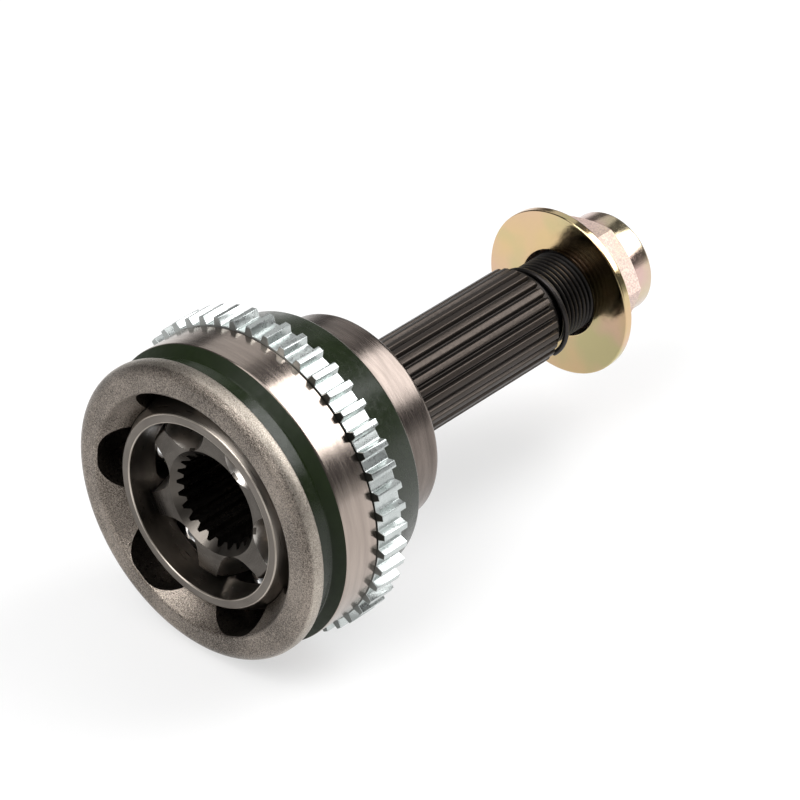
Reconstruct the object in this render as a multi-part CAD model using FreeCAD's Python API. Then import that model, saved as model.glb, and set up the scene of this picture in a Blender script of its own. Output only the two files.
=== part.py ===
import FreeCAD, Part
import math
import os

# Fixed-ball driveshaft joint, wheel side. Millimetres.
# X runs along the stub shaft, from the open mouth to the hub nut, and Z is up.
# The origin is the joint centre, where the ball ring, the cage and both races share one centre.

# Balls
BALL_DIAMETER = 15.875
BALL_RING_RADIUS = 27.0
BALL_COUNT = 6
BALL_PHASE = 5.0
TRACK_CLEARANCE = 0.2
SIDE_TRACK_CLEARANCE = 0.12

# Cage
CAGE_OUTER_WALL = 4.0
CAGE_INNER_WALL = 2.1
CAGE_HALF_WIDTH = 17.2
CAGE_LIP = 1.5
CAGE_EDGE = 0.4
WINDOW_CLEARANCE = 0.05
WINDOW_SIDE_PLAY = 1.5
WINDOW_CORNER = 4.0
SPHERE_CLEARANCE = 0.2

# Inner race and its bore for the driveshaft
RACE_HALF_WIDTH = 12.6
RACE_EDGE = 0.35
RACE_WALL = 5.9625
SHAFT_SPLINE_DEPTH = 1.2
SHAFT_SPLINE_TEETH = 23
SHAFT_LEAD_IN = 1.2
SHAFT_LAND_SHARE = 0.24
SHAFT_ROOT_SHARE = 0.26

# Tracks: degrees along the ball's arc from the ball ring's plane, and the lean of the side play
TRACK_STRAIGHT_FROM = 10.0
TRACK_REAR_END = 28.0
RACE_TRACK_END = 46.0
SIDE_PLAY_TILT = 15.0
SIDE_PLAY_REACH = 21.0

# Bell: its mouth, boot groove, ground band, ring seat, rear cone and shoulder drum
BAND_WALL = 4.8625
CAVITY_DEPTH = 27.5
MOUTH_REACH = 19.6
MOUTH_RING = 7.2
MOUTH_CONE_ANGLE = 40.0
LIP_STEP = 0.3
LIP_LENGTH = 4.7
LIP_ROUND = 3.4
GROOVE_LENGTH = 4.95
GROOVE_DEPTH = 2.6
GROOVE_SLOPE_LENGTH = 2.5
BAND_LENGTH = 10.65
SEAT_STEP = 1.5
RING_WIDTH = 8.0
REAR_CONE_LENGTH = 12.25
REAR_CONE_DROP = 3.4
SHOULDER_SLOPE_LENGTH = 3.5
SHOULDER_DROP = 6.9
SHOULDER_LENGTH = 11.55
SHOULDER_ROUND = 1.2
EDGE_ROUND = 0.5

# Stub shaft: journal, spline, undercut and thread
JOURNAL_RADIUS = 13.9
JOURNAL_LENGTH = 3.5
JOURNAL_ROOT = 1.5
SPLINE_RADIUS = 13.5
SPLINE_DEPTH = 1.25
SPLINE_TEETH = 26
SPLINE_LENGTH = 60.7
SPLINE_LAND_SHARE = 0.5
SPLINE_ROOT_SHARE = 0.12
SPLINE_RUNOUT = 3.0
SPLINE_END_CHAMFER = 1.9
UNDERCUT_RADIUS = 9.8
UNDERCUT_LENGTH = 2.8
THREAD_RADIUS = 11.0
THREAD_PITCH = 1.5
THREAD_TURNS = 16
THREAD_DEPTH = 0.9
THREAD_CREST = 0.2
THREAD_END_CHAMFER = 1.2

# Toothed speed-sensor ring
RING_TEETH = 48
RING_PHASE = 5.3
RING_ROOT_WALL = 1.9
RING_TOOTH_HEIGHT = 2.0
RING_TOOTH_BASE = 3.9
RING_TOOTH_TIP = 2.4

# Hub nut with its captive disc
DISC_RADIUS = 23.2
DISC_THICKNESS = 2.3
DISC_EDGE = 0.35
DISC_FROM_THREAD_START = 10.8
COLLAR_RADIUS = 12.9
COLLAR_FLARE = 0.8
COLLAR_LENGTH = 1.5
COLLAR_CLEARANCE = 0.3
NUT_ACROSS_FLATS = 30.0
NUT_HEX_HEIGHT = 12.4
NUT_HEX_PHASE = 52.5
NUT_CHAMFER_ANGLE = 30.0
NUT_TOP_RING = 0.6
NUT_THREAD_CLEARANCE = 0.05
NUT_LEAD_GAP = 1.2
NUT_LEAD_DEPTH = 4.0
SLEEVE_RADIUS = 14.0
SLEEVE_HEIGHT = 7.2
SLEEVE_BORE = 11.6
SLEEVE_EDGE = 0.8

# Loose wire circlip over the undercut, leaning to one side
CIRCLIP_WIRE = 1.4
CIRCLIP_BORE_RADIUS = 11.3
CIRCLIP_GAP_ANGLE = 70.0
CIRCLIP_GAP_PLACE = 263.0
CIRCLIP_LEAN_PLACE = 175.0
CIRCLIP_CLEARANCE = 0.1

# Radii that several pieces share
ball_radius = BALL_DIAMETER / 2
track_radius = ball_radius + TRACK_CLEARANCE
side_track_radius = ball_radius + SIDE_TRACK_CLEARANCE
cage_outer_radius = BALL_RING_RADIUS + CAGE_OUTER_WALL
cage_inner_radius = BALL_RING_RADIUS - CAGE_INNER_WALL
race_radius = cage_inner_radius - SPHERE_CLEARANCE
cavity_radius = cage_outer_radius + SPHERE_CLEARANCE
bell_radius = BALL_RING_RADIUS + track_radius + BAND_WALL
shaft_spline_radius = BALL_RING_RADIUS - track_radius - RACE_WALL
lip_radius = bell_radius - LIP_STEP
groove_radius = bell_radius - GROOVE_DEPTH
seat_radius = bell_radius - SEAT_STEP
cone_radius = seat_radius - REAR_CONE_DROP
shoulder_radius = cone_radius - SHOULDER_DROP
spline_root_radius = SPLINE_RADIUS - SPLINE_DEPTH
thread_root_radius = THREAD_RADIUS - THREAD_DEPTH
nut_lead_radius = THREAD_RADIUS + NUT_LEAD_GAP
collar_end_radius = COLLAR_RADIUS + COLLAR_FLARE

# Stations along the shaft, each from the one before it
mouth_x = -MOUTH_REACH
groove_x = mouth_x + LIP_LENGTH
slope_x = groove_x + GROOVE_LENGTH
band_x = slope_x + GROOVE_SLOPE_LENGTH
seat_x = band_x + BAND_LENGTH
cone_x = seat_x + RING_WIDTH
cone_end_x = cone_x + REAR_CONE_LENGTH
shoulder_x = cone_end_x + SHOULDER_SLOPE_LENGTH
face_x = shoulder_x + SHOULDER_LENGTH
spline_x = face_x + JOURNAL_LENGTH
undercut_x = spline_x + SPLINE_LENGTH
thread_x = undercut_x + UNDERCUT_LENGTH
stub_end_x = thread_x + THREAD_TURNS * THREAD_PITCH
disc_x = thread_x + DISC_FROM_THREAD_START
nut_x = disc_x + DISC_THICKNESS
collar_x = nut_x - COLLAR_LENGTH
sleeve_x = nut_x + NUT_HEX_HEIGHT
sleeve_end_x = sleeve_x + SLEEVE_HEIGHT

CENTRE = FreeCAD.Vector(0, 0, 0)
SHAFT = FreeCAD.Vector(1, 0, 0)
MARGIN = 1.0


def point(x, radius, angle=0.0):
    turn = math.radians(angle)
    return FreeCAD.Vector(x, radius * math.cos(turn), radius * math.sin(turn))


def turned_about(shape, angle):
    copy = shape.copy()
    copy.rotate(CENTRE, SHAFT, angle)
    return copy


# Outline through (x, radius, rounding) corners, with a tangent arc where a corner is rounded
def outline(corners):
    places = [FreeCAD.Vector(x, radius, 0) for x, radius, rounding in corners]
    spans = []
    for index, (x, radius, rounding) in enumerate(corners):
        here = places[index]
        if rounding == 0:
            spans.append((here, None, here))
            continue
        back = (places[index - 1] - here).normalize()
        ahead = (places[(index + 1) % len(places)] - here).normalize()
        half_angle = back.getAngle(ahead) / 2
        reach = rounding / math.tan(half_angle)
        inward = (back + ahead).normalize()
        middle = here + inward * (rounding / math.sin(half_angle) - rounding)
        spans.append((here + back * reach, middle, here + ahead * reach))
    edges = []
    for index, (start, middle, end) in enumerate(spans):
        if middle is not None:
            edges.append(Part.Arc(start, middle, end).toShape())
        following = spans[(index + 1) % len(spans)][0]
        if end.distanceToPoint(following) > 1e-6:
            edges.append(Part.LineSegment(end, following).toShape())
    return Part.Face(Part.Wire(edges))


def turned(corners):
    return outline(corners).revolve(CENTRE, SHAFT, 360)


# Straight teeth round the shaft: lands at the outer radius, and narrower floors at the inner one
def toothed_bar(x, length, floor_radius, land_radius, count, land_angle, base_angle, phase):
    pitch = 360.0 / count
    edges = []
    for index in range(count):
        middle = phase + index * pitch
        rise = point(x, floor_radius, middle - base_angle / 2)
        land_start = point(x, land_radius, middle - land_angle / 2)
        land_middle = point(x, land_radius, middle)
        land_end = point(x, land_radius, middle + land_angle / 2)
        fall = point(x, floor_radius, middle + base_angle / 2)
        floor_middle = point(x, floor_radius, middle + pitch / 2)
        floor_end = point(x, floor_radius, middle + pitch - base_angle / 2)
        edges.append(Part.LineSegment(rise, land_start).toShape())
        edges.append(Part.Arc(land_start, land_middle, land_end).toShape())
        edges.append(Part.LineSegment(land_end, fall).toShape())
        edges.append(Part.Arc(fall, floor_middle, floor_end).toShape())
    return Part.Face(Part.Wire(edges)).extrude(SHAFT * length)


# Arc of a ball's path about the joint centre, swept as a round-ended tube. Angles run from the
# ball ring's plane towards the mouth, and tilt leans the path about the ball's own radius.
def path_tube(from_angle, to_angle, tilt, tube_radius):
    pieces = []
    for angle, way in ((from_angle, 1), (to_angle, -1)):
        turn = math.radians(angle)
        place = FreeCAD.Vector(-math.sin(turn), math.cos(turn), 0) * BALL_RING_RADIUS
        outward = FreeCAD.Vector(math.cos(turn), math.sin(turn), 0) * way
        pieces.append(Part.makeSphere(tube_radius, place, outward, 0, 90, 360))
        if way == 1:
            section = Part.Face(Part.Wire(Part.makeCircle(tube_radius, place, outward)))
            across = FreeCAD.Vector(0, 0, 1)
            pieces.append(section.revolve(CENTRE, across, to_angle - from_angle))
    tube = pieces[0].multiFuse(pieces[1:])
    tube.rotate(CENTRE, FreeCAD.Vector(0, 1, 0), tilt)
    return tube


# Leaning arcs on the +Y side, for the small side play of a ball in bends out of its track's plane
def leaning_tubes():
    tubes = []
    for tilt in (-SIDE_PLAY_TILT, SIDE_PLAY_TILT):
        tubes.append(path_tube(-SIDE_PLAY_REACH, SIDE_PLAY_REACH, tilt, side_track_radius))
    return tubes


def ball_angles():
    return [BALL_PHASE + index * 360.0 / BALL_COUNT for index in range(BALL_COUNT)]


def at_every_ball(tubes):
    return [turned_about(tube, angle) for angle in ball_angles() for tube in tubes]


# The bell's tracks leave the ball's arc ahead of the ball and run straight out of the mouth
def bell_tracks():
    arc = path_tube(-TRACK_REAR_END, TRACK_STRAIGHT_FROM, 0, track_radius)
    turn = math.radians(TRACK_STRAIGHT_FROM)
    start = FreeCAD.Vector(-math.sin(turn), math.cos(turn), 0) * BALL_RING_RADIUS
    outward = FreeCAD.Vector(-math.cos(turn), -math.sin(turn), 0)
    run_out = Part.makeCylinder(track_radius, 2 * MOUTH_REACH, start, outward)
    return at_every_ball([arc, run_out] + leaning_tubes())


def bell_cavity():
    sphere = Part.makeSphere(cavity_radius)
    floor = Part.makeCylinder(cavity_radius, 2 * cavity_radius,
                              FreeCAD.Vector(CAVITY_DEPTH - 2 * cavity_radius, 0, 0), SHAFT)
    slope = math.tan(math.radians(MOUTH_CONE_ANGLE))
    cone_mouth_radius = lip_radius - MOUTH_RING
    mouth = turned([(mouth_x - MARGIN, 0, 0),
                    (mouth_x - MARGIN, cone_mouth_radius + slope * MARGIN, 0),
                    (mouth_x + cone_mouth_radius / slope, 0, 0)])
    return sphere.common(floor).fuse(mouth)


def thread_corners():
    flank = (THREAD_PITCH - 2 * THREAD_CREST) / 2
    corners = []
    for turn in range(THREAD_TURNS):
        start = thread_x + turn * THREAD_PITCH
        corners.append((start, thread_root_radius, 0))
        corners.append((start + THREAD_CREST, thread_root_radius, 0))
        corners.append((start + THREAD_CREST + flank, THREAD_RADIUS, 0))
        corners.append((start + 2 * THREAD_CREST + flank, THREAD_RADIUS, 0))
    corners.append((stub_end_x, thread_root_radius, 0))
    return corners


# The forging's turned outline, from the mouth over the bell to the threaded end of the stub
def forging():
    return turned([
        (mouth_x, 0, 0),
        (mouth_x, lip_radius, LIP_ROUND),
        (groove_x, lip_radius, EDGE_ROUND),
        (groove_x, groove_radius, EDGE_ROUND),
        (slope_x, groove_radius, EDGE_ROUND),
        (band_x, bell_radius, EDGE_ROUND),
        (seat_x, bell_radius, EDGE_ROUND),
        (seat_x, seat_radius, 0),
        (cone_x, seat_radius, 0),
        (cone_end_x, cone_radius, EDGE_ROUND),
        (shoulder_x, shoulder_radius, SHOULDER_ROUND),
        (face_x, shoulder_radius, SHOULDER_ROUND),
        (face_x, JOURNAL_RADIUS, JOURNAL_ROOT),
        (spline_x, JOURNAL_RADIUS, 0),
        (spline_x + SPLINE_RUNOUT, spline_root_radius, 0),
        (undercut_x, spline_root_radius, 0),
        (undercut_x, UNDERCUT_RADIUS, EDGE_ROUND),
        (thread_x, UNDERCUT_RADIUS, 0),
        *thread_corners(),
        (stub_end_x + THREAD_END_CHAMFER, thread_root_radius - THREAD_END_CHAMFER, 0),
        (stub_end_x + THREAD_END_CHAMFER, 0, 0),
    ])


def stub_spline():
    pitch = 360.0 / SPLINE_TEETH
    teeth = toothed_bar(spline_x, SPLINE_LENGTH, spline_root_radius - MARGIN / 2, SPLINE_RADIUS,
                        SPLINE_TEETH, SPLINE_LAND_SHARE * pitch, (1 - SPLINE_ROOT_SHARE) * pitch, 0)
    envelope = turned([
        (spline_x - MARGIN, 0, 0),
        (spline_x - MARGIN, SPLINE_RADIUS + MARGIN, 0),
        (undercut_x - SPLINE_END_CHAMFER - MARGIN, SPLINE_RADIUS + MARGIN, 0),
        (undercut_x, SPLINE_RADIUS - SPLINE_END_CHAMFER, 0),
        (undercut_x, 0, 0),
    ])
    return teeth.common(envelope)


def bell_housing():
    body = forging().fuse(stub_spline())
    for void in [bell_cavity()] + bell_tracks():
        body = body.cut(void)
    return body


def tone_ring():
    root_radius = seat_radius + RING_ROOT_WALL
    bar = toothed_bar(seat_x, RING_WIDTH, root_radius, root_radius + RING_TOOTH_HEIGHT, RING_TEETH,
                      RING_TOOTH_TIP, RING_TOOTH_BASE, RING_PHASE)
    bore = Part.makeCylinder(seat_radius, RING_WIDTH + 2 * MARGIN,
                             FreeCAD.Vector(seat_x - MARGIN, 0, 0), SHAFT)
    return bar.cut(bore)


# Rounded window for one ball, cut outwards through the cage on its +Y side
def window():
    half_axial = ball_radius + WINDOW_CLEARANCE
    half_side = ball_radius + WINDOW_SIDE_PLAY
    block = Part.makeBox(2 * half_axial, cage_outer_radius, 2 * half_side,
                         FreeCAD.Vector(-half_axial, ball_radius, -half_side))
    corners = [edge for edge in block.Edges if abs(edge.tangentAt(edge.FirstParameter).y) > 0.9]
    return block.makeFillet(WINDOW_CORNER, corners)


def cage():
    bore_radius = cage_inner_radius - CAGE_LIP
    ring = turned([
        (-CAGE_HALF_WIDTH, bore_radius, CAGE_EDGE),
        (-CAGE_HALF_WIDTH, cage_outer_radius, 0),
        (CAGE_HALF_WIDTH, cage_outer_radius, 0),
        (CAGE_HALF_WIDTH, bore_radius, CAGE_EDGE),
    ])
    shell = ring.common(Part.makeSphere(cage_outer_radius)).cut(Part.makeSphere(cage_inner_radius))
    return shell.cut([turned_about(window(), angle) for angle in ball_angles()])


# Splined bore for the driveshaft, with a countersink at each end
def shaft_bore():
    pitch = 360.0 / SHAFT_SPLINE_TEETH
    reach = RACE_HALF_WIDTH + MARGIN
    floor_radius = shaft_spline_radius - SHAFT_SPLINE_DEPTH
    bore = toothed_bar(-reach, 2 * reach, floor_radius, shaft_spline_radius, SHAFT_SPLINE_TEETH,
                       SHAFT_LAND_SHARE * pitch, (1 - SHAFT_ROOT_SHARE) * pitch, 0)
    lead_radius = shaft_spline_radius + SHAFT_LEAD_IN
    voids = [bore]
    for way in (-1, 1):
        voids.append(turned([
            (way * (RACE_HALF_WIDTH - lead_radius), 0, 0),
            (way * reach, lead_radius + MARGIN, 0),
            (way * reach, 0, 0),
        ]))
    return voids


def inner_race():
    rim_radius = math.sqrt(race_radius ** 2 - RACE_HALF_WIDTH ** 2) - RACE_EDGE
    slope_x = RACE_HALF_WIDTH - race_radius + rim_radius
    drum = turned([
        (-RACE_HALF_WIDTH, 0, 0),
        (-RACE_HALF_WIDTH, rim_radius, 0),
        (-slope_x, race_radius, 0),
        (slope_x, race_radius, 0),
        (RACE_HALF_WIDTH, rim_radius, 0),
        (RACE_HALF_WIDTH, 0, 0),
    ])
    body = drum.common(Part.makeSphere(race_radius))
    tube = path_tube(-RACE_TRACK_END, RACE_TRACK_END, 0, track_radius)
    for void in at_every_ball([tube] + leaning_tubes()) + shaft_bore():
        body = body.cut(void)
    return body


def ball(angle):
    return Part.makeSphere(ball_radius, point(0, BALL_RING_RADIUS, angle))


# Disc with a flared pocket, in which the nut's collar turns without coming out
def nut_disc():
    pocket_x = collar_x - COLLAR_CLEARANCE
    return turned([
        (disc_x, nut_lead_radius, 0),
        (disc_x, DISC_RADIUS, DISC_EDGE),
        (nut_x, DISC_RADIUS, DISC_EDGE),
        (nut_x, COLLAR_RADIUS + COLLAR_CLEARANCE, 0),
        (pocket_x, collar_end_radius + COLLAR_CLEARANCE, 0),
        (pocket_x, nut_lead_radius, 0),
    ])


# Flared collar, threaded core and the plain sleeve that is staked into the stub, in one turned piece
def nut_core():
    bore_radius = THREAD_RADIUS + NUT_THREAD_CLEARANCE
    lead_x = nut_x + NUT_LEAD_DEPTH
    return turned([
        (collar_x, nut_lead_radius, 0),
        (collar_x, collar_end_radius, 0),
        (nut_x, COLLAR_RADIUS, 0),
        (nut_x, SLEEVE_RADIUS, 0),
        (sleeve_end_x, SLEEVE_RADIUS, SLEEVE_EDGE),
        (sleeve_end_x, SLEEVE_BORE, 0),
        (sleeve_x, SLEEVE_BORE, 0),
        (sleeve_x - SLEEVE_BORE + bore_radius, bore_radius, 0),
        (lead_x, bore_radius, 0),
        (lead_x - nut_lead_radius + bore_radius, nut_lead_radius, 0),
    ])


def nut_hexagon():
    corner_radius = NUT_ACROSS_FLATS / 2 / math.cos(math.radians(30))
    corners = [point(nut_x, corner_radius, NUT_HEX_PHASE + 60 * index) for index in range(6)]
    prism = Part.Face(Part.makePolygon(corners + corners[:1])).extrude(SHAFT * NUT_HEX_HEIGHT)
    ring_radius = SLEEVE_RADIUS + NUT_TOP_RING
    slope = math.tan(math.radians(NUT_CHAMFER_ANGLE))
    bevel = turned([
        (nut_x - MARGIN, 0, 0),
        (nut_x - MARGIN, corner_radius + MARGIN, 0),
        (sleeve_x - slope * (corner_radius + MARGIN - ring_radius), corner_radius + MARGIN, 0),
        (sleeve_x, ring_radius, 0),
        (sleeve_x, 0, 0),
    ])
    core = Part.makeCylinder(COLLAR_RADIUS, NUT_HEX_HEIGHT, FreeCAD.Vector(nut_x, 0, 0), SHAFT)
    return prism.common(bevel).cut(core)


def hub_nut():
    return nut_core().fuse(nut_hexagon()).removeSplitter()


# Open ring of round wire, wider than the undercut: it leans until one side all but touches it
def shaft_circlip():
    wire_radius = CIRCLIP_WIRE / 2
    ring_radius = CIRCLIP_BORE_RADIUS + wire_radius
    start = point(0, ring_radius, CIRCLIP_GAP_PLACE + CIRCLIP_GAP_ANGLE / 2)
    along = SHAFT.cross(start)
    section = Part.Face(Part.Wire(Part.makeCircle(wire_radius, start, along)))
    ring = section.revolve(CENTRE, SHAFT, 360 - CIRCLIP_GAP_ANGLE)
    lean = CIRCLIP_BORE_RADIUS - UNDERCUT_RADIUS - CIRCLIP_CLEARANCE
    ring.translate(point(undercut_x + UNDERCUT_LENGTH / 2, lean, CIRCLIP_LEAN_PLACE))
    return ring


def main():
    os.makedirs("parts", exist_ok=True)
    nodes = {
        "bell_housing": bell_housing(),
        "tone_ring": tone_ring(),
        "cage": cage(),
        "inner_race": inner_race(),
        "nut_disc": nut_disc(),
        "hub_nut": hub_nut(),
        "shaft_circlip": shaft_circlip(),
    }
    for index, angle in enumerate(ball_angles()):
        nodes["ball_%d" % (index + 1)] = ball(angle)
    for name, shape in nodes.items():
        shape.exportStep("parts/" + name + ".step")


main()
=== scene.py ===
# Fixed-ball driveshaft joint, seen over its open mouth. Metres, +X from the mouth to the hub nut.
import math

import bmesh
import bpy
from mathutils import Matrix, Vector


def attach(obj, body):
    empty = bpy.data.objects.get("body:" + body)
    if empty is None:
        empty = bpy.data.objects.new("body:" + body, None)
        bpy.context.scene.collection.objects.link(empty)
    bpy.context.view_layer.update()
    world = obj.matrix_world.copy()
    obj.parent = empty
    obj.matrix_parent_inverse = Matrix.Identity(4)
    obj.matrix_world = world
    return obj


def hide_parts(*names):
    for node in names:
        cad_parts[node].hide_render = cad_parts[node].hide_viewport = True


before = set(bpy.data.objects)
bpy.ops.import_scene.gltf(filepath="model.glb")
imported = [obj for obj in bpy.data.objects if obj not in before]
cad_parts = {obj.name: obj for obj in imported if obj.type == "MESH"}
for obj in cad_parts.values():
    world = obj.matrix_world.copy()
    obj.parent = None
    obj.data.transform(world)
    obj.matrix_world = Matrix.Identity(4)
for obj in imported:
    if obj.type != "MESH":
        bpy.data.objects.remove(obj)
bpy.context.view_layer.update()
print("frame loaded,", len(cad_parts), "nodes")

mm = 0.001  # the dictionaries give millimetres
near = 1e-6  # metres within which points count as one
sharpFold = 0.5  # radians from which a folded edge gets a bevel
shaftAxis = Vector((1, 0, 0))
ballAngles = [5 + 60 * step for step in range(6)]  # about the shaft, for balls, tracks and windows


# Mesh helpers

def aboutShaft(angle):
    return Matrix.Rotation(math.radians(angle), 4, "X")


def spinWire(corners, steps):
    bm = bmesh.new()
    verts = [bm.verts.new((x * mm, radius * mm, 0)) for x, radius in corners]
    edges = [bm.edges.new(pair) for pair in zip(verts, verts[1:] + verts[:1])]
    bmesh.ops.spin(bm, geom=verts + edges, cent=(0, 0, 0), axis=shaftAxis, steps=steps,
                   angle=math.tau, use_merge=True)
    bmesh.ops.remove_doubles(bm, verts=bm.verts, dist=near)
    bmesh.ops.recalc_face_normals(bm, faces=bm.faces)
    return bm


def roundRings(bm, rings):
    for x, radius, width, segments in rings:  # each ring of edges at (x, radius) gets a rounding
        ring = [edge for edge in bm.edges if all(
            abs(vert.co.x - x * mm) < 4 * near
            and abs(math.hypot(vert.co.y, vert.co.z) - radius * mm) < 4 * near
            for vert in edge.verts)]
        bmesh.ops.bevel(bm, geom=ring, offset=width * mm, affect="EDGES", segments=segments,
                        profile=0.5, material=-1)


# Extrudes the faces and gives back the new points, which haven't moved yet
def grow(bm, faces):
    grown = bmesh.ops.extrude_face_region(bm, geom=faces)
    return [item for item in grown["geom"] if isinstance(item, bmesh.types.BMVert)]


# Each tooth has pitchSteps points round the bar, and rootSteps of them are on the root circle
def toothedBar(x, length, count, tipRadius, rootRadius, rootSteps, pitchSteps, toothAngle):
    bm = bmesh.new()
    firstStep = toothAngle + (180 - 180 * (rootSteps - 1) / pitchSteps) / count
    made = bmesh.ops.create_circle(bm, cap_ends=True, segments=count * pitchSteps, radius=tipRadius * mm,
                                   matrix=aboutShaft(firstStep) @ Matrix.Rotation(math.pi / 2, 4, "Y"))
    firstAngle = math.atan2(made["verts"][0].co.z, made["verts"][0].co.y)
    for vert in made["verts"]:
        step = round((math.atan2(vert.co.z, vert.co.y) - firstAngle) / math.tau * count * pitchSteps)
        if step % pitchSteps < rootSteps:
            vert.co *= rootRadius / tipRadius
    bmesh.ops.translate(bm, verts=bm.verts, vec=(x * mm, 0, 0))
    bmesh.ops.translate(bm, verts=grow(bm, bm.faces[:]), vec=(length * mm, 0, 0))
    bmesh.ops.recalc_face_normals(bm, faces=bm.faces)
    return bm


def toObject(name, bm):
    mesh = bpy.data.meshes.new(name)
    bm.to_mesh(mesh)
    bm.free()
    made = bpy.data.objects.new(name, mesh)
    bpy.context.scene.collection.objects.link(made)
    return made


def combine(bm, tools, operation="DIFFERENCE"):
    body = toObject("body", bm)
    cutters = [toObject("tool", tool) for tool in tools]
    for cutter in cutters:
        step = body.modifiers.new("step", "BOOLEAN")
        step.operation = operation
        step.solver = "EXACT"
        step.object = cutter
    mesh = bpy.data.meshes.new_from_object(body.evaluated_get(bpy.context.evaluated_depsgraph_get()))
    result = bmesh.new()
    result.from_mesh(mesh)
    for used in [body] + cutters:
        bpy.data.objects.remove(used)
    return result


def joinFlatFaces(bm):
    bmesh.ops.dissolve_limit(bm, angle_limit=math.radians(0.5), verts=bm.verts, edges=bm.edges)


def makePiece(name, bm, body, node, materials, sharpAngle, pickMaterial=None):
    if pickMaterial:
        for face in bm.faces:
            centre = face.calc_center_median()
            face.material_index = pickMaterial(centre.x / mm, math.hypot(centre.y, centre.z) / mm)
    piece = toObject(name, bm)
    for material in materials:
        piece.data.materials.append(material)
    piece.data.shade_smooth()
    piece.data.set_sharp_from_angle(angle=math.radians(sharpAngle))
    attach(piece, body)
    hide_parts(node)
    print("made", name, len(piece.data.polygons), "faces")


# Material helpers

class Shader:
    def __init__(self, name, **sockets):
        self.material = bpy.data.materials.new(name)
        self.material.use_nodes = True
        self.tree = self.material.node_tree
        self.surface = self.tree.nodes["Principled BSDF"]
        self.place = self.node("ShaderNodeTexCoord").outputs["Object"]
        for socket, value in sockets.items():
            self.surface.inputs[socket.replace("_", " ")].default_value = value

    # An input is named by its label with _ for a space, or by i and its number
    def node(self, kind, settings=None, **inputs):
        made = self.tree.nodes.new(kind)
        for key, value in (settings or {}).items():
            setattr(made, key, value)
        for key, value in inputs.items():
            numbered = key[0] == "i" and key[1:].isdigit()
            socket = made.inputs[int(key[1:])] if numbered else made.inputs[key.replace("_", " ")]
            if isinstance(value, bpy.types.NodeSocket):
                self.tree.links.new(value, socket)
            else:
                socket.default_value = value
        return made

    def math(self, operation, first, second=0.0):
        return self.node("ShaderNodeMath", {"operation": operation}, i0=first, i1=second).outputs[0]

    def noise(self, scale, detail=3.0, roughness=0.55, place=None):
        return self.node("ShaderNodeTexNoise", Vector=place or self.place, Scale=scale, Detail=detail,
                         Roughness=roughness).outputs["Fac"]

    def stretch(self, low, high, value, toLow=0.0, toHigh=1.0):
        return self.node("ShaderNodeMapRange", Value=value, From_Min=low, From_Max=high, To_Min=toLow,
                         To_Max=toHigh).outputs["Result"]

    def blend(self, amount, first, second):
        mixed = self.node("ShaderNodeMix", {"data_type": "RGBA"}, i0=amount, i6=first, i7=second)
        return mixed.outputs[2]

    def axes(self):
        return list(self.node("ShaderNodeSeparateXYZ", Vector=self.place).outputs)

    def radius(self):
        squares = [self.math("MULTIPLY", part, part) for part in self.axes()[1:]]
        return self.math("SQRT", self.math("ADD", squares[0], squares[1]))

    # Runs along the shaft, round it and away from it, for turning and grinding marks
    def roundCoordinates(self, along, around, outward=0.0):
        x, y, z = self.axes()
        radius = self.radius()
        marks = self.math("ADD", self.math("MULTIPLY", x, along), self.math("MULTIPLY", radius, outward))
        turnY = self.math("MULTIPLY", self.math("DIVIDE", y, radius), around)
        turnZ = self.math("MULTIPLY", self.math("DIVIDE", z, radius), around)
        return self.node("ShaderNodeCombineXYZ", X=marks, Y=turnY, Z=turnZ).outputs[0]

    def bump(self, height, distance, strength, under=None):
        made = self.node("ShaderNodeBump", Height=height, Distance=distance, Strength=strength)
        if under:
            self.tree.links.new(under, made.inputs["Normal"])
        return made.outputs["Normal"]

    def feed(self, socket, value):
        self.tree.links.new(value, self.surface.inputs[socket])


# Finishes

def blastedSteel(name, pale, dark, grain, rimHighlight=None):
    look = Shader(name, Metallic=1.0)
    speck = look.noise(3300, 4, 0.85)
    broad = look.noise(60, 3)
    tone = look.math("ADD", look.math("MULTIPLY", speck, 0.8), look.math("MULTIPLY", broad, 0.2))
    colour = look.blend(look.stretch(0.42, 0.58, tone), dark, pale)
    # A lighter strip between two radii is a painted highlight on the rim
    if rimHighlight:
        onRimHighlight = look.stretch(rimHighlight["from"] * mm, rimHighlight["to"] * mm, look.radius())
        rimHighlightColour = look.blend(look.stretch(0.40, 0.60, tone), rimHighlight["dark"], rimHighlight["pale"])
        colour = look.blend(onRimHighlight, colour, rimHighlightColour)
    look.feed("Base Color", colour)
    look.feed("Roughness", look.stretch(0.3, 0.7, look.noise(1500, 2), 0.25, 0.42))
    coarse = look.bump(look.noise(1700, 2, 0.6), 0.00010, grain * 0.5)
    look.feed("Normal", look.bump(speck, 0.00009, grain, coarse))
    return look.material


def groundSteel(name, pale, dark, roughness, along=5200.0, outward=0.0, grain=0.2):
    look = Shader(name, Metallic=1.0)
    marks = look.noise(1.0, 2, 0.5, look.roundCoordinates(along, 5.0, outward))
    broad = look.noise(1.0, 3, 0.5, look.roundCoordinates(along * 0.1, 2.0, outward * 0.1))
    look.feed("Base Color", look.blend(look.stretch(0.3, 0.7, broad), dark, pale))
    look.feed("Roughness", look.stretch(0.3, 0.7, marks, roughness - 0.05, roughness + 0.07))
    look.feed("Normal", look.bump(marks, 0.00002, grain))
    return look.material


def greenPaint(name, index, smoothest, roughest):
    look = Shader(name, Metallic=0.0, IOR=index)
    deep = (0.006, 0.0105, 0.003, 1)
    light = (0.012, 0.020, 0.006, 1)
    look.feed("Base Color", look.blend(look.noise(300, 3), deep, light))
    look.feed("Roughness", look.stretch(0.35, 0.65, look.noise(500, 3), smoothest, roughest))
    look.feed("Normal", look.bump(look.noise(700, 2), 0.00004, 0.12))
    return look.material


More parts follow.
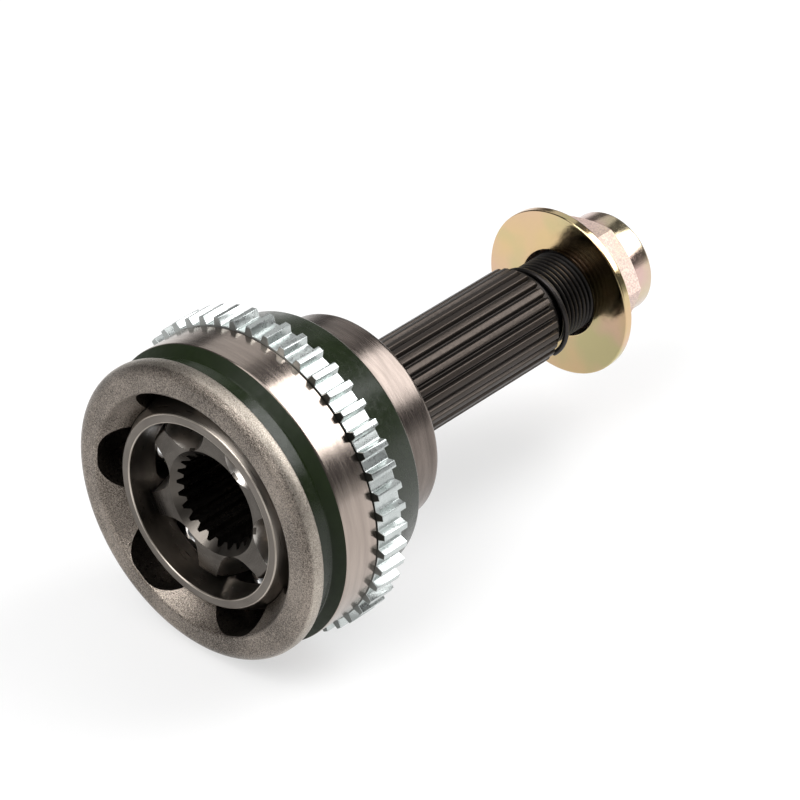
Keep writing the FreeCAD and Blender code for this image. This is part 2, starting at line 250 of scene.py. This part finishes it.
def blackOxide(name, crest, floor, lowRadius, highRadius, rub):
    look = Shader(name, Metallic=0.85)
    streaks = look.noise(1.0, 3, 0.6, look.roundCoordinates(rub, 160.0))
    # Painted light and shade: the colour runs from the floor colour at lowRadius to the crest colour at
    # highRadius, so the roots carry painted shade and the crests painted glints, broken up by streaks along
    # the shaft
    height = look.stretch(lowRadius * mm, highRadius * mm, look.radius())
    crestLight = look.math("MULTIPLY", height, look.stretch(0.35, 0.7, streaks, 0.45, 1.0))
    look.feed("Base Color", look.blend(crestLight, floor, crest))
    look.feed("Roughness", look.stretch(0.3, 0.7, look.noise(1500, 3), 0.30, 0.46))
    look.feed("Normal", look.bump(look.noise(2200, 2), 0.00005, 0.3))
    return look.material


def zincPlate(name, first, second, roughness, grain, patchScale, third=None, sand=None, along=0.0,
              outward=0.0, metal=1.0):
    look = Shader(name, Metallic=metal)
    colour = look.blend(look.stretch(0.38, 0.62, look.noise(patchScale, 3, 0.5)), first, second)
    if third:
        colour = look.blend(look.stretch(0.5, 0.68, look.noise(patchScale * 1.7, 2, 0.5)), colour, third)
    if sand:
        colour = look.blend(look.stretch(0.42, 0.60, look.noise(2300, 2, 0.7)), sand, colour)
    look.feed("Base Color", colour)
    look.feed("Roughness", look.stretch(0.3, 0.7, look.noise(800, 3), roughness - 0.05, roughness + 0.06))
    normal = look.bump(look.noise(2600, 2, 0.7), 0.00007, grain)
    if along or outward:
        marks = look.noise(1.0, 2, 0.5, look.roundCoordinates(along, 6.0, outward))
        normal = look.bump(marks, 0.00002, 0.2, normal)
    look.feed("Normal", normal)
    return look.material


# Painted light and shade: the colour is light on the far side, half as light low on the near side, and dark
# above that
def paintedShadeFace(name, shade, light, roughness):
    look = Shader(name, Metallic=0.9)
    y, z = look.axes()[1:]
    top = look.stretch(-18.0 * mm, -9.0 * mm, y)
    bottom = look.stretch(0.0, -10.0 * mm, z, 0.0, 0.5)
    look.feed("Base Color", look.blend(look.math("MAXIMUM", top, bottom), shade, light))
    look.feed("Roughness", look.stretch(0.3, 0.7, look.noise(900, 3), roughness - 0.05, roughness + 0.05))
    return look.material


def polishedSteel(name, pale, dark, roughness):
    look = Shader(name, Metallic=1.0)
    look.feed("Base Color", look.blend(look.noise(300, 3), dark, pale))
    look.feed("Roughness", look.stretch(0.3, 0.7, look.noise(900, 3), roughness - 0.03, roughness + 0.03))
    return look.material


# Painted highlight: a lighter strip on the lip's outer rounding, between these radii
lipRimHighlight = {"from": 38.95, "to": 39.35, "pale": (0.56, 0.50, 0.43, 1), "dark": (0.20, 0.175, 0.15, 1)}
finish = {
    "lip": blastedSteel("blastedLip", (0.36, 0.31, 0.265, 1), (0.045, 0.038, 0.032, 1), 1.0, lipRimHighlight),
    "paint": greenPaint("greenPaint", 1.36, 0.20, 0.30),
    "slope": greenPaint("dullPaint", 1.25, 0.42, 0.55),
    "band": groundSteel("groundBand", (0.43, 0.365, 0.32, 1), (0.34, 0.285, 0.25, 1), 0.18),
    "shoulder": groundSteel("groundShoulder", (0.215, 0.180, 0.160, 1), (0.135, 0.113, 0.100, 1), 0.24),
    # Spline, thread and wire: painted shade in the roots and painted glints on the crests
    "spline": blackOxide("blackSpline", (0.062, 0.050, 0.042, 1), (0.018, 0.015, 0.013, 1),
                         12.5, 13.4, 90.0),
    "thread": blackOxide("blackThread", (0.066, 0.062, 0.058, 1), (0.007, 0.006, 0.006, 1),
                         10.4, 10.97, 900.0),
    "wire": blackOxide("blackWire", (0.045, 0.040, 0.038, 1), (0.020, 0.018, 0.017, 1), 9.8, 14.0, 600.0),
    "cavity": blastedSteel("greasedCavity", (0.21, 0.183, 0.160, 1), (0.10, 0.087, 0.075, 1), 0.6),
    "ring": zincPlate("blueZinc", (0.59, 0.625, 0.615, 1), (0.53, 0.565, 0.555, 1), 0.28, 0.08, 300.0),
    # Painted shade and light on the ring teeth's front end faces
    "paintedRingEnds": paintedShadeFace("ringEndsPaintedShade", (0.028, 0.032, 0.028, 1), (0.36, 0.38, 0.37, 1), 0.40),
    "cage": groundSteel("cageSteel", (0.190, 0.170, 0.150, 1), (0.125, 0.110, 0.096, 1), 0.32,
                        2600.0, 2600.0),
    # Painted highlight on the cage rims
    "edge": groundSteel("cageRimHighlight", (0.60, 0.54, 0.47, 1), (0.20, 0.175, 0.15, 1), 0.32,
                        5200.0, 5200.0, 0.7),
    "race": groundSteel("raceSteel", (0.118, 0.106, 0.094, 1), (0.070, 0.062, 0.054, 1), 0.30,
                        2600.0, 2600.0),
    "groove": polishedSteel("groundGroove", (0.66, 0.62, 0.58, 1), (0.52, 0.485, 0.45, 1), 0.30),
    "ball": polishedSteel("polishedBall", (0.95, 0.95, 0.95, 1), (0.86, 0.86, 0.86, 1), 0.05),
    "disc": zincPlate("yellowZinc", (0.68, 0.50, 0.27, 1), (0.68, 0.46, 0.34, 1), 0.13, 0.10, 34.0,
                      third=(0.56, 0.49, 0.26, 1), outward=3500.0),
    "nut": zincPlate("blastedZinc", (0.86, 0.66, 0.58, 1), (0.80, 0.66, 0.48, 1), 0.42, 0.5, 60.0,
                     sand=(0.56, 0.42, 0.37, 1), metal=0.6),
    "sleeve": zincPlate("turnedZinc", (0.66, 0.47, 0.42, 1), (0.62, 0.53, 0.36, 1), 0.18, 0.1, 60.0,
                        along=4200.0),
}
print("finishes made")

# Bell: forging, tracks and finish zones
bell = {
    "steps": 192,
    "cavityRadius": 31.2,
    "cavityFloor": 27.5,
    "mouthCone": (-14.06, 27.85),
    # The points beside the roundings keep the shading of the long faces true
    "outline": [(-19.0, 31.996), (-19.6, 32.5), (-19.6, 33.2), (-19.6, 36.2), (-19.6, 39.7), (-14.9, 39.7),
                (-14.9, 37.4), (-14.3, 37.4), (-10.5, 37.4), (-9.95, 37.4), (-9.6, 37.764), (-7.8, 39.636),
                (-7.45, 40.0), (-6.9, 40.0), (2.7, 40.0), (3.2, 40.0), (3.2, 38.5), (11.2, 38.5),
                (11.6, 38.389), (22.9, 35.253), (23.45, 35.1), (26.95, 28.2), (28.2, 28.2), (37.0, 28.2),
                (38.5, 28.2), (38.5, 26.6), (38.5, 15.6), (38.5, 13.9), (42.0, 13.9), (45.0, 12.25),
                (45.0, 0.0), (27.5, 0.0)],
    "roundings": [(-19.6, 32.5, 0.5, 3), (-19.6, 39.7, 3.3, 10), (-14.9, 39.7, 0.5, 3),
                  (-14.9, 37.4, 0.4, 3), (-9.95, 37.4, 0.3, 3), (-7.45, 40.0, 0.3, 3), (3.2, 40.0, 0.3, 2),
                  (23.45, 35.1, 0.25, 2), (26.95, 28.2, 1.0, 4), (38.5, 28.2, 1.2, 5), (38.5, 13.9, 1.4, 4)],
    "trackRear": 40, "trackFront": 10, "trackRunOut": 40,
    "zones": ("lip", "paint", "band", "shoulder", "spline", "cavity", "slope"),
    # Where one finish ends and the next begins: places along the shaft, then radii
    "lipFace": -19.55, "lipEnd": -14.5, "coneEnd": -14.0, "slopeStart": -9.9, "slopeEnd": -7.55,
    "bandEnd": 11.0, "paintEnd": 23.3, "trackEnd": 24.0, "floorEnd": 27.6, "splineStart": 38.3,
    "splineRadius": 15.5, "wallRadius": 31.6, "wallReach": 35.5, "trackMouth": 36.3, "trackReach": 37.8,
    "coneRadius": 28.3, "coneSlope": 0.84,
}
track = {"radius": 8.1375, "ringRadius": 27.0, "bellPlay": 2.5, "racePlay": 1.9, "playReach": 36.0,
         "segments": 48, "steps": 28}


# Points on a circle about the origin, each as (x, radius)
def arc(radius, fromAngle, toAngle, count):
    angles = [fromAngle + (toAngle - fromAngle) * step / count for step in range(count + 1)]
    return [(radius * math.cos(angle), radius * math.sin(angle)) for angle in angles]


def cavityArc():
    floorAngle = math.acos(bell["cavityFloor"] / bell["cavityRadius"])
    mouthAngle = math.atan2(bell["mouthCone"][1], bell["mouthCone"][0])
    return arc(bell["cavityRadius"], floorAngle, mouthAngle, count=40)


def trackTool(angle, rearAngle, frontAngle, runOut, sidePlay):
    bm = bmesh.new()
    place = Matrix.Rotation(math.radians(-rearAngle), 4, "Z") @ Matrix.Translation(
        (0, track["ringRadius"] * mm, 0)) @ Matrix.Rotation(math.pi / 2, 4, "Y")
    bmesh.ops.create_circle(bm, cap_ends=True, segments=track["segments"], radius=track["radius"] * mm,
                            matrix=place)
    swept = bmesh.ops.spin(bm, geom=bm.faces[:], cent=(0, 0, 0), axis=(0, 0, 1), steps=track["steps"],
                           angle=math.radians(rearAngle + frontAngle), use_merge=False)
    if runOut:
        lastFace = [item for item in swept["geom_last"] if isinstance(item, bmesh.types.BMFace)]
        turn = math.radians(frontAngle)
        bmesh.ops.translate(bm, verts=grow(bm, lastFace),
                            vec=Vector((-math.cos(turn), -math.sin(turn), 0)) * runOut * mm)
        bmesh.ops.delete(bm, geom=lastFace, context="FACES_ONLY")
    bmesh.ops.holes_fill(bm, edges=bm.edges, sides=0)
    for vert in bm.verts:  # the track widens a little where a ball plays sideways
        swing = min(abs(math.degrees(math.atan2(vert.co.x, vert.co.y))), track["playReach"])
        widening = sidePlay * math.sin(math.pi * swing / track["playReach"])
        if abs(vert.co.z) > near:
            vert.co.z += math.copysign(widening * mm, vert.co.z)
    bmesh.ops.recalc_face_normals(bm, faces=bm.faces)
    bmesh.ops.transform(bm, matrix=aboutShaft(angle), verts=bm.verts)
    return bm


def bellZone(x, radius):
    fromCentre = math.hypot(x, radius)
    coneRadius = bell["coneRadius"] - bell["coneSlope"] * (x - bell["mouthCone"][0])
    if x > bell["splineStart"] and radius < bell["splineRadius"]:
        zone = "spline"
    elif x < bell["floorEnd"] and radius < bell["wallRadius"] and fromCentre < bell["wallReach"]:
        zone = "cavity" if x > bell["coneEnd"] else "lip"
    elif bell["lipEnd"] < x < bell["trackEnd"] and fromCentre < bell["trackReach"]:
        zone = "cavity"
    elif bell["lipFace"] < x <= bell["lipEnd"] and coneRadius < radius < bell["trackMouth"]:
        zone = "cavity"
    elif x < bell["lipEnd"]:
        zone = "lip"
    elif bell["slopeStart"] < x < bell["slopeEnd"]:
        zone = "slope"
    elif x < bell["slopeEnd"] or bell["bandEnd"] < x < bell["paintEnd"]:
        zone = "paint"
    elif x <= bell["bandEnd"]:
        zone = "band"
    else:
        zone = "shoulder"
    return bell["zones"].index(zone)


def bellShell():
    shell = spinWire(bell["outline"] + cavityArc(), bell["steps"])
    roundRings(shell, bell["roundings"])
    return combine(shell, [trackTool(angle, bell["trackRear"], bell["trackFront"], bell["trackRunOut"],
                                     track["bellPlay"]) for angle in ballAngles])


makePiece("bellShell", bellShell(), "housing", "bell_housing",
          [finish[zone] for zone in bell["zones"]], sharpAngle=30, pickMaterial=bellZone)

# Stub shaft: splined part, undercut and helical thread
stub = {
    "teeth": 26, "tip": 13.5, "root": 12.25, "start": 42.0, "chamferStart": 100.85, "end": 102.7,
    "chamferRadius": 11.65, "edge": 0.22, "coreSteps": 128,
    "threadStart": 105.5, "threadEnd": 129.5, "pitch": 1.5, "facets": 64,
    "threadForm": [(0, 10.1), (0.2, 10.1), (0.7, 11.0), (0.9, 11.0), (1.5, 10.1)],
    "core": [(45.0, 0.0), (45.0, 12.25), (102.6, 12.25), (102.7, 11.65), (102.7, 9.8), (105.5, 9.8),
             (105.5, 10.1), (129.4, 10.1), (129.4, 10.95), (130.7, 9.0), (130.7, 0.0)],
    "undercutFrom": 102.5,
}


def splineTeeth():
    bar = toothedBar(stub["start"], stub["chamferStart"] - stub["start"], stub["teeth"], stub["tip"],
                     stub["root"], rootSteps=2, pitchSteps=6, toothAngle=0)
    front = max(vert.co.x for vert in bar.verts)
    endFace = [face for face in bar.faces if all(abs(vert.co.x - front) < near for vert in face.verts)]
    ends = grow(bar, endFace)
    bmesh.ops.delete(bar, geom=endFace, context="FACES_ONLY")
    for vert in ends:
        across = math.hypot(vert.co.y, vert.co.z)
        shrink = min(1.0, stub["chamferRadius"] * mm / across)
        vert.co = Vector((stub["end"] * mm, vert.co.y * shrink, vert.co.z * shrink))
    longEdge = 0.05  # metres, which only the edges along the teeth reach
    long = [edge for edge in bar.edges if abs(edge.verts[0].co.x - edge.verts[1].co.x) > longEdge
            and edge.calc_face_angle(0) > sharpFold]
    bmesh.ops.bevel(bar, geom=long, offset=stub["edge"] * mm, affect="EDGES", segments=3, profile=0.5,
                    material=-1)
    bmesh.ops.recalc_face_normals(bar, faces=bar.faces)
    return bar


def helicalThread():
    bm = bmesh.new()
    pitch = stub["pitch"]
    start = stub["threadStart"] - pitch
    verts = [bm.verts.new(((start + x) * mm, radius * mm, 0)) for x, radius in stub["threadForm"]]
    edges = [bm.edges.new(pair) for pair in zip(verts, verts[1:])]
    turns = round((stub["threadEnd"] - start) / pitch) + 1
    bmesh.ops.spin(bm, geom=verts + edges, cent=(0, 0, 0), dvec=(pitch * mm / stub["facets"], 0, 0),
                   axis=shaftAxis, steps=stub["facets"] * turns, angle=math.tau * turns, use_merge=False)
    bmesh.ops.remove_doubles(bm, verts=bm.verts, dist=2 * near)
    for x, side in ((stub["threadStart"], -1), (stub["threadEnd"], 1)):
        bmesh.ops.bisect_plane(bm, geom=bm.verts[:] + bm.edges[:] + bm.faces[:], plane_co=(x * mm, 0, 0),
                               plane_no=(side, 0, 0), clear_outer=True)
    bmesh.ops.recalc_face_normals(bm, faces=bm.faces)
    return bm


def coreZone(x, radius):
    return 1 if x > stub["undercutFrom"] else 0


makePiece("stubSpline", splineTeeth(), "housing", "bell_housing",
          [finish["spline"]], sharpAngle=25)
makePiece("stubCore", spinWire(stub["core"], stub["coreSteps"]), "housing", "bell_housing",
          [finish["spline"], finish["thread"]], sharpAngle=30, pickMaterial=coreZone)
makePiece("stubThread", helicalThread(), "housing", "bell_housing",
          [finish["thread"]], sharpAngle=25)

# Toothed sensor ring on its seat
ring = {"start": 3.2, "width": 8.0, "teeth": 48, "tip": 42.39, "root": 40.4, "bore": 38.5, "phase": 5.3,
        "edge": 0.16, "edgesBeyond": 39.5, "boreSteps": 192, "faceDepth": 0.01}


def sensorRing():
    bar = toothedBar(ring["start"], ring["width"], ring["teeth"], ring["tip"], ring["root"],
                     rootSteps=6, pitchSteps=10, toothAngle=ring["phase"])
    past = 15  # the hole's tool runs from the joint centre to here, past the ring
    hole = spinWire([(0, 0), (0, ring["bore"]), (past, ring["bore"]), (past, 0)], ring["boreSteps"])
    bar = combine(bar, [hole])
    joinFlatFaces(bar)
    sharp = [edge for edge in bar.edges if edge.calc_face_angle(0) > sharpFold
             and min(math.hypot(vert.co.y, vert.co.z) for vert in edge.verts) > ring["edgesBeyond"] * mm]
    bmesh.ops.bevel(bar, geom=sharp, offset=ring["edge"] * mm, affect="EDGES", segments=2, profile=0.5,
                    material=-1)
    return bar


# The teeth's front end faces, towards the mouth, take the painted shade
def ringZone(x, radius):
    return 1 if x < ring["start"] + ring["faceDepth"] else 0


makePiece("sensorRing", sensorRing(), "housing", "tone_ring",
          [finish["ring"], finish["paintedRingEnds"]], sharpAngle=20, pickMaterial=ringZone)

# Cage, inner race and balls
cage = {"outer": 31.0, "inner": 24.9, "bore": 23.4, "half": 17.2, "edge": 0.35, "steps": 160,
        "rimPoints": (25.2, 23.9), "borePoints": (16.7, 9.0),
        "windowAxial": 7.9875, "windowSide": 9.4375, "windowCorner": 4.0, "windowDepth": 30.0,
        "windowPlace": 25.0, "highlightDepth": 0.36, "highlightWidth": 0.34, "highlightRim": 25.55}
race = {"outer": 24.7, "half": 12.6, "bore": 11.7, "tooth": 12.9, "teeth": 23, "leadIn": 14.1, "edge": 0.35,
        "steps": 160, "rimPoint": 20.7, "tipGap": 0.02, "toothHalf": 15, "trackAngle": 46,
        "grooveMargin": 0.3, "faceMargin": 0.05}
ball = {"radius": 7.9375, "segments": 64, "rings": 32, "bodies": {1: "first_ball", 4: "opposite_ball"}}


def sphereArc(radius, fromX, toX, count):
    return arc(radius, math.acos(fromX / radius), math.acos(toX / radius), count)


def mirrored(corners):
    return [(-x, radius) for x, radius in reversed(corners)]


def windowTool(angle):
    bm = bmesh.new()
    bmesh.ops.create_cube(bm, size=1.0)
    size = Vector((2 * cage["windowAxial"], cage["windowDepth"], 2 * cage["windowSide"])) * mm
    bmesh.ops.scale(bm, vec=size, verts=bm.verts)
    bmesh.ops.translate(bm, vec=(0, cage["windowPlace"] * mm, 0), verts=bm.verts)
    outward = [edge for edge in bm.edges if abs(edge.verts[0].co.y - edge.verts[1].co.y) > near]
    bmesh.ops.bevel(bm, geom=outward, offset=cage["windowCorner"] * mm, affect="EDGES", segments=8,
                    profile=0.5, material=-1)
    bmesh.ops.transform(bm, matrix=aboutShaft(angle), verts=bm.verts)
    return bm


def cageRing():
    half = cage["half"]
    bore = cage["bore"]
    grooveX = math.sqrt(cage["inner"] ** 2 - bore ** 2)
    rim = ([(half, radius) for radius in cage["rimPoints"]] + [(half, bore)]
           + [(x, bore) for x in cage["borePoints"]])
    outline = (sphereArc(cage["outer"], -half, half, count=36) + rim
               + sphereArc(cage["inner"], grooveX, -grooveX, count=16) + mirrored(rim))
    bm = spinWire(outline, cage["steps"])
    rimRadius = math.sqrt(cage["outer"] ** 2 - half ** 2)
    roundRings(bm, [(side * half, radius, cage["edge"], 3) for side in (-1, 1)
                    for radius in (bore, rimRadius)])
    return combine(bm, [windowTool(angle) for angle in ballAngles])


def raceBody():
    half = race["half"]
    rimRadius = math.sqrt(race["outer"] ** 2 - half ** 2)
    countersink = half - (race["leadIn"] - race["bore"])
    tips = race["bore"] + race["tipGap"]
    face = [(half, race["rimPoint"]), (half, race["leadIn"]), (countersink, tips)]
    outline = sphereArc(race["outer"], -half, half, count=28) + face + mirrored(face)
    bm = spinWire(outline, race["steps"])
    roundRings(bm, [(side * half, rimRadius, race["edge"], 3) for side in (-1, 1)])
    teeth = toothedBar(-race["toothHalf"], 2 * race["toothHalf"], race["teeth"], race["tooth"], race["bore"],
                       rootSteps=2, pitchSteps=4, toothAngle=0)
    tracks = [trackTool(angle, race["trackAngle"], race["trackAngle"], 0, track["racePlay"])
              for angle in ballAngles]
    return combine(bm, tracks + [teeth])


# The rim edges take a lighter colour, a painted highlight
def cageZone(x, radius):
    onRim = radius < cage["bore"] + cage["highlightWidth"] or radius > cage["highlightRim"]
    return 1 if onRim and abs(x) > cage["half"] - cage["highlightDepth"] else 0


def raceZone(x, radius):
    onGroove = (race["leadIn"] + race["grooveMargin"] < radius
                and math.hypot(x, radius) < race["outer"] - race["grooveMargin"])
    return 1 if onGroove and abs(x) < race["half"] - race["faceMargin"] else 0


makePiece("ballCage", cageRing(), "cage_set", "cage",
          [finish["cage"], finish["edge"]], sharpAngle=30, pickMaterial=cageZone)
makePiece("innerRace", raceBody(), "race", "inner_race",
          [finish["race"], finish["groove"]], sharpAngle=30, pickMaterial=raceZone)

for number, angle in enumerate(ballAngles, 1):
    sphere = bmesh.new()
    place = aboutShaft(angle) @ Matrix.Translation((0, track["ringRadius"] * mm, 0))
    bmesh.ops.create_uvsphere(sphere, u_segments=ball["segments"], v_segments=ball["rings"],
                              radius=ball["radius"] * mm, matrix=place)
    makePiece("bearingBall" + str(number), sphere, ball["bodies"].get(number, "cage_set"),
              "ball_" + str(number), [finish["ball"]], sharpAngle=60)

# Hub nut with its captive disc, and the wire circlip
nut = {
    "hexStart": 118.6, "hexEnd": 131.0, "acrossFlats": 30.0, "phase": 52.5, "topRing": 14.6, "chamfer": 30.0,
    "core": [(117.1, 12.2), (117.1, 13.7), (118.6, 12.9), (118.6, 14.0), (138.2, 14.0), (138.2, 11.6),
             (131.0, 11.6), (130.45, 11.05), (122.6, 11.05), (121.45, 12.2)],
    "roundings": [(138.2, 14.0, 0.8, 5), (138.2, 11.6, 0.2, 2)],
    "steps": 144, "hexHole": 13.0, "holeSteps": 96, "sleeveRadius": 14.1, "sleeveMargin": 0.1,
    # The tools that shape the hexagon reach past it
    "coneStart": 110, "coneRadius": 25.0, "holeStart": 100, "holeEnd": 140,
}
disc = {"outline": [(116.3, 12.2), (116.3, 12.5), (116.3, 22.7), (116.3, 23.2), (116.8, 23.2), (118.1, 23.2),
                    (118.6, 23.2), (118.6, 22.7), (118.6, 13.2), (116.8, 14.0), (116.8, 12.2)],
        "roundings": [(116.3, 23.2, 0.35, 4), (118.6, 23.2, 0.35, 4), (116.3, 12.2, 0.12, 2)],
        "steps": 192}
wire = {"radius": 0.7, "ring": 12.0, "gap": 70.0, "gapPlace": 263.0, "x": 104.1, "lean": 1.4,
        "leanPlace": 175.0, "segments": 24, "steps": 128}


def hexagonBody():
    corner = nut["acrossFlats"] / 2 / math.cos(math.radians(30))
    prism = bmesh.new()
    place = (Matrix.Translation((nut["hexStart"] * mm, 0, 0)) @ aboutShaft(nut["phase"])
             @ Matrix.Rotation(math.pi / 2, 4, "Y"))
    bmesh.ops.create_circle(prism, cap_ends=True, segments=6, radius=corner * mm, matrix=place)
    bmesh.ops.translate(prism, verts=grow(prism, prism.faces[:]),
                        vec=((nut["hexEnd"] - nut["hexStart"]) * mm, 0, 0))
    bmesh.ops.recalc_face_normals(prism, faces=prism.faces)
    back = nut["hexEnd"] - (nut["coneRadius"] - nut["topRing"]) * math.tan(math.radians(nut["chamfer"]))
    chamferCone = spinWire([(nut["coneStart"], 0), (nut["coneStart"], nut["coneRadius"]),
                            (back, nut["coneRadius"]), (nut["hexEnd"], nut["topRing"]),
                            (nut["hexEnd"], 0)], nut["steps"])
    hole = spinWire([(nut["holeStart"], 0), (nut["holeStart"], nut["hexHole"]),
                     (nut["holeEnd"], nut["hexHole"]), (nut["holeEnd"], 0)], nut["holeSteps"])
    prism = combine(prism, [chamferCone], "INTERSECT")
    return combine(prism, [hole])


def nutBody():
    core = spinWire(nut["core"], nut["steps"])
    roundRings(core, nut["roundings"])
    core = combine(core, [hexagonBody()], "UNION")
    joinFlatFaces(core)
    return core


def nutZone(x, radius):
    return 1 if radius < nut["sleeveRadius"] and x > nut["hexEnd"] - nut["sleeveMargin"] else 0


def discPlate():
    bm = spinWire(disc["outline"], disc["steps"])
    roundRings(bm, disc["roundings"])
    return bm


def wireRing():
    bm = bmesh.new()
    start = wire["gapPlace"] + wire["gap"] / 2
    place = aboutShaft(start) @ Matrix.Translation((0, wire["ring"] * mm, 0))
    bmesh.ops.create_circle(bm, cap_ends=True, segments=wire["segments"], radius=wire["radius"] * mm,
                            matrix=place)
    bmesh.ops.spin(bm, geom=bm.faces[:], cent=(0, 0, 0), axis=shaftAxis, steps=wire["steps"],
                   angle=math.radians(360 - wire["gap"]), use_merge=False)
    bmesh.ops.holes_fill(bm, edges=bm.edges, sides=0)
    bmesh.ops.recalc_face_normals(bm, faces=bm.faces)
    lean = aboutShaft(wire["leanPlace"]) @ Vector((0, wire["lean"] * mm, 0))
    bmesh.ops.translate(bm, verts=bm.verts, vec=(wire["x"] * mm, lean.y, lean.z))
    return bm


makePiece("nutDisc", discPlate(), "disc", "nut_disc", [finish["disc"]], sharpAngle=30)
makePiece("hubNut", nutBody(), "nut", "hub_nut",
          [finish["nut"], finish["sleeve"]], sharpAngle=25, pickMaterial=nutZone)
makePiece("wireCirclip", wireRing(), "circlip", "shaft_circlip",
          [finish["wire"]], sharpAngle=40)

# Floor, lamps and camera
studio = {
    "floorZ": -42.4, "floorSize": 6.0, "paperGlow": 0.6,
    "horizon": (0.50, 0.50, 0.50, 1), "ceiling": (0.10, 0.10, 0.10, 1), "skyFrom": 0.02, "skyTo": 0.16,
    "position": (-565.6, -563.2, 556.6), "forward": (0.6158, 0.5587, -0.5555),
    "right": (0.6719, -0.7406, 0.0), "up": (0.4114, 0.3733, 0.8315), "lens": 180.2,
}
lamps = [
    {"name": "overhead", "place": (0.04, 0.0, 1.1), "target": (0.04, 0, 0), "size": (1.0, 1.0), "power": 4.0},
    {"name": "mouthPanel", "place": (-0.77, -0.02, 0.89), "target": (0, 0, 0), "size": (0.75, 0.75),
     "power": 12.0},
    {"name": "rearPanel", "place": (0.774, -0.414, 0.816), "target": (0, 0, 0), "size": (0.80, 0.94),
     "power": 13.0},
    {"name": "sidePanel", "place": (0.74, 0.67, 0.667), "target": (0, 0, 0), "size": (0.70, 0.60),
     "power": 0.85},
]


def addLamp(name, place, target, size, power):
    data = bpy.data.lights.new(name, "AREA")
    data.energy = power
    data.shape = "RECTANGLE"
    data.size, data.size_y = size
    lamp = bpy.data.objects.new(name, data)
    lamp.location = place
    lamp.rotation_euler = (Vector(target) - Vector(place)).to_track_quat("-Z", "Y").to_euler()
    bpy.context.scene.collection.objects.link(lamp)


def makeFloor():
    bm = bmesh.new()
    bmesh.ops.create_grid(bm, x_segments=1, y_segments=1, size=studio["floorSize"],
                          matrix=Matrix.Translation((0, 0, studio["floorZ"] * mm)))
    floor = toObject("studioFloor", bm)
    look = Shader("palePaper", Roughness=0.9)
    look.feed("Base Color", look.blend(look.noise(3, 2), (0.89, 0.89, 0.89, 1), (0.91, 0.91, 0.91, 1)))
    look.surface.inputs["Specular IOR Level"].default_value = 0.0
    glow = look.node("ShaderNodeEmission", Color=(1.0, 1.0, 1.0, 1), Strength=1.0)
    path = look.node("ShaderNodeLightPath").outputs
    reflected = look.math("MAXIMUM", path["Is Camera Ray"], path["Is Glossy Ray"])
    seen = look.math("MAXIMUM", reflected, path["Is Transmission Ray"])
    paper = look.node("ShaderNodeMixShader", i0=look.math("MULTIPLY", seen, studio["paperGlow"]))
    look.tree.links.new(look.surface.outputs[0], paper.inputs[1])
    look.tree.links.new(glow.outputs[0], paper.inputs[2])
    look.tree.links.new(paper.outputs[0], look.tree.nodes["Material Output"].inputs["Surface"])
    floor.data.materials.append(look.material)


def makeWorld():
    world = bpy.data.worlds.new("studioWorld")
    world.use_nodes = True
    bpy.context.scene.world = world
    tree = world.node_tree
    place = tree.nodes.new("ShaderNodeTexCoord")
    parts = tree.nodes.new("ShaderNodeSeparateXYZ")
    tree.links.new(place.outputs["Generated"], parts.inputs[0])
    height = tree.nodes.new("ShaderNodeMapRange")
    height.inputs["From Min"].default_value = studio["skyFrom"]
    height.inputs["From Max"].default_value = studio["skyTo"]
    tree.links.new(parts.outputs[2], height.inputs["Value"])
    mixed = tree.nodes.new("ShaderNodeMix")
    mixed.data_type = "RGBA"
    tree.links.new(height.outputs["Result"], mixed.inputs[0])
    mixed.inputs[6].default_value = studio["horizon"]
    mixed.inputs[7].default_value = studio["ceiling"]
    tree.links.new(mixed.outputs[2], tree.nodes["Background"].inputs["Color"])


def placeCamera():
    camera = bpy.data.objects.new("camera", bpy.data.cameras.new("camera"))
    camera.data.lens = studio["lens"]
    camera.data.clip_start = 0.01
    axes = Matrix((studio["right"], studio["up"], [-part for part in studio["forward"]])).transposed()
    camera.matrix_world = Matrix.Translation(Vector(studio["position"]) * mm) @ axes.to_4x4()
    bpy.context.scene.collection.objects.link(camera)
    bpy.context.scene.camera = camera


makeFloor()
makeWorld()
for lamp in lamps:
    addLamp(**lamp)
placeCamera()
bpy.context.scene.view_settings.view_transform = "Standard"
print("studio made")
